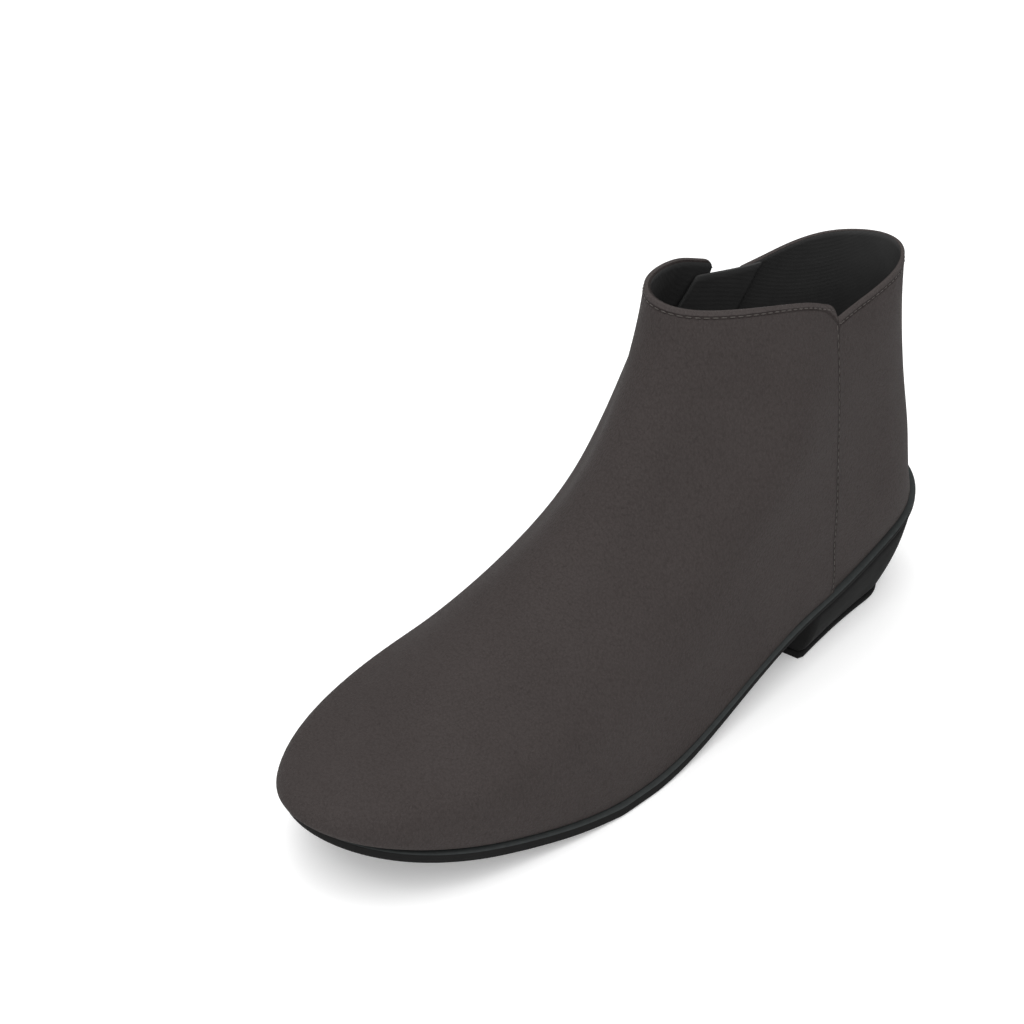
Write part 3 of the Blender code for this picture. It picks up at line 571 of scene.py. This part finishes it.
# Zip pull: a flat brass tab with an open loop round the slider's bridge, a sunk middle and an open foot. It
# hangs from the pin and swings about it.
PULL_STATIONS = (-0.45, 0.45, 6.8, 8.2, 16.4, 18.0, 24.2, 26.3)  # mm from the pin
PULL_HALF = (3.1, 3.2, 3.35, 3.35, 3.35, 3.35, 3.35, 2.6)  # mm, half width at each station
WINDOW_HALF = 2.15  # mm
PULL_HALF_THICK = 0.45  # mm
PULL_BEVEL = 0.16 * MM
PULL_RIM = math.radians(60)
SUNK_RIM = 0.25 * MM
SUNK_DEEP = 0.28 * MM
OPEN_CELLS = (1, 5)
SUNK_CELL = 3

# Old brass: the sunk parts of the pull, dark with a brown patina.
old_brass, tree, place, tone, height = finish(
    "patinated_brass", roughness=0.45, gloss=0.5, dark="#3a3010", light="#54461c",
    strength=0.1, depth=0.1 * MM)
tree.nodes["Principled BSDF"].inputs["Metallic"].default_value = 1.0
patina = add(tree, "ShaderNodeTexNoise", {}, {"Vector": place, "Scale": 1 / (1.5 * MM), "Detail": 3.0})
tree.links.new(patina.outputs["Fac"], tone)
tree.links.new(patina.outputs["Fac"], height)

bm = bmesh.new()
bmesh.ops.create_grid(bm, x_segments=len(PULL_STATIONS) - 1, y_segments=3, size=1.0)
for vert in bm.verts:
    row = round((vert.co.x + 1) / 2 * (len(PULL_STATIONS) - 1))
    column = round((vert.co.y + 1) / 2 * 3)
    reach = (-PULL_HALF[row], -WINDOW_HALF, WINDOW_HALF, PULL_HALF[row])[column]
    vert.co = Vector((PULL_STATIONS[row], reach, -PULL_HALF_THICK)) * MM
middles = [f for f in bm.faces if abs(f.calc_center_median().y) < 0.1 * MM]
middles.sort(key=lambda f: f.calc_center_median().x)
bmesh.ops.delete(bm, geom=[middles[i] for i in OPEN_CELLS], context="FACES_ONLY")
grown = bmesh.ops.extrude_face_region(bm, geom=bm.faces[:])["geom"]
top = [i for i in grown if isinstance(i, bmesh.types.BMVert)]
bmesh.ops.translate(bm, verts=top, vec=(0, 0, 2 * PULL_HALF_THICK * MM))
bmesh.ops.recalc_face_normals(bm, faces=bm.faces)
sunk_at = Vector(((PULL_STATIONS[SUNK_CELL] + PULL_STATIONS[SUNK_CELL + 1]) / 2 * MM, 0))
flat = [f for f in bm.faces if abs(f.normal.z) > 0.9]
sunk = [f for f in flat if (f.calc_center_median().xy - sunk_at).length < MM]
bmesh.ops.inset_individual(bm, faces=sunk, thickness=SUNK_RIM, depth=-SUNK_DEEP)
for face in sunk:
    face.material_index = 1
rims = [e for e in bm.edges if e.calc_face_angle(0.0) > PULL_RIM]
bmesh.ops.bevel(bm, geom=rims, affect="EDGES", offset=PULL_BEVEL, segments=2, profile=0.5, material=-1)
bmesh.ops.transform(bm, matrix=pull_frame, verts=bm.verts)
piece("brass_pull", bm, (brass, old_brass), "zip_pull", body="pull_tab")

# Studio: a white paper floor that glows faintly like a light table, a white sky that is brightest overhead,
# a broad lamp above, a weak one behind the camera, and the camera where the photograph was taken from.
FLOOR_HALF = 6.0  # lengths of the studio are in metres
FLOOR_GLOW = 0.25
SKY_LOW = 0.1
SKY_HIGH = 1.1
OVERHEAD_SIZE = (1.6, 1.4)
OVERHEAD_WATTS = 13.0
OVERHEAD_PLACE = (-0.3, -0.05, 1.4)
OVERHEAD_AIM = Vector((0, 0, 50 * MM))
FRONT_SIZE = 1.0
FRONT_WATTS = 3.5
FRONT_DISTANCE = 1.5
SENSOR_WIDE = 36.0
AZIMUTH = math.radians(-42.3)
ELEVATION = math.radians(34.1)
ROLL = math.radians(-1.0)
FOCAL_PIXELS = 2053.0
FRAME_PIXELS = 1024.0
AIM = Vector((-13.95, -1.77, 55.8)) * MM
SHIFT = (-28.18 * MM, 24.83 * MM)
DISTANCE = 680.8 * MM

# White paper: matt, without a highlight.
paper = bpy.data.materials.new("white_studio_paper")
paper.use_nodes = True
shader = paper.node_tree.nodes["Principled BSDF"]
shader.inputs["Base Color"].default_value = linear("#f4f4f4")
shader.inputs["Roughness"].default_value = 0.9
shader.inputs["Specular IOR Level"].default_value = 0.0
shader.inputs["Emission Color"].default_value = (1, 1, 1, 1)
shader.inputs["Emission Strength"].default_value = FLOOR_GLOW
bm = bmesh.new()
bmesh.ops.create_grid(bm, x_segments=1, y_segments=1, size=FLOOR_HALF)
mesh = bpy.data.meshes.new("floor")
bm.to_mesh(mesh)
bm.free()
mesh.materials.append(paper)
floor = bpy.data.objects.new("floor", mesh)
bpy.context.scene.collection.objects.link(floor)

world = bpy.data.worlds.new("studio_sky")
bpy.context.scene.world = world
world.use_nodes = True
sky = world.node_tree
sky.nodes["Background"].inputs["Color"].default_value = (1, 1, 1, 1)
direction = add(sky, "ShaderNodeTexCoord", {}, {}).outputs["Generated"]
rise = add(sky, "ShaderNodeSeparateXYZ", {}, {"Vector": direction}).outputs["Z"]
glow = add(sky, "ShaderNodeMapRange", {}, {"Value": rise, "To Min": SKY_LOW, "To Max": SKY_HIGH})
seen = add(sky, "ShaderNodeLightPath", {}, {}).outputs["Is Camera Ray"]
white = add(sky, "ShaderNodeMix", {}, {0: seen, 2: glow.outputs["Result"], 3: 1.0})
sky.links.new(white.outputs[0], sky.nodes["Background"].inputs["Strength"])

lamp = bpy.data.lights.new("overhead", "AREA")
lamp.shape = "RECTANGLE"
lamp.size = OVERHEAD_SIZE[0]
lamp.size_y = OVERHEAD_SIZE[1]
lamp.energy = OVERHEAD_WATTS
overhead = bpy.data.objects.new("overhead", lamp)
overhead.location = OVERHEAD_PLACE
overhead.rotation_euler = (OVERHEAD_AIM - overhead.location).to_track_quat("-Z", "Y").to_euler()
bpy.context.scene.collection.objects.link(overhead)

back = Vector((math.sin(AZIMUTH) * math.cos(ELEVATION), -math.cos(AZIMUTH) * math.cos(ELEVATION),
               math.sin(ELEVATION)))
level = Vector((math.cos(AZIMUTH), math.sin(AZIMUTH), 0))
upward = back.cross(level)
right = level * math.cos(ROLL) + upward * math.sin(ROLL)
up = upward * math.cos(ROLL) - level * math.sin(ROLL)
view_axes = Matrix((right, up, back)).transposed().to_4x4()
camera = bpy.data.objects.new("camera", bpy.data.cameras.new("camera"))
camera.data.sensor_width = SENSOR_WIDE
camera.data.lens = FOCAL_PIXELS / FRAME_PIXELS * SENSOR_WIDE
camera.data.clip_start = 0.01
tripod = AIM + right * SHIFT[0] + up * SHIFT[1] + back * DISTANCE
camera.matrix_world = Matrix.Translation(tripod) @ view_axes
bpy.context.scene.collection.objects.link(camera)
bpy.context.scene.camera = camera

lamp = bpy.data.lights.new("front", "AREA")
lamp.size = FRONT_SIZE
lamp.energy = FRONT_WATTS
front = bpy.data.objects.new("front", lamp)
front.matrix_world = Matrix.Translation(AIM + back * FRONT_DISTANCE) @ view_axes
bpy.context.scene.collection.objects.link(front)
bpy.context.scene.view_settings.view_transform = "Standard"
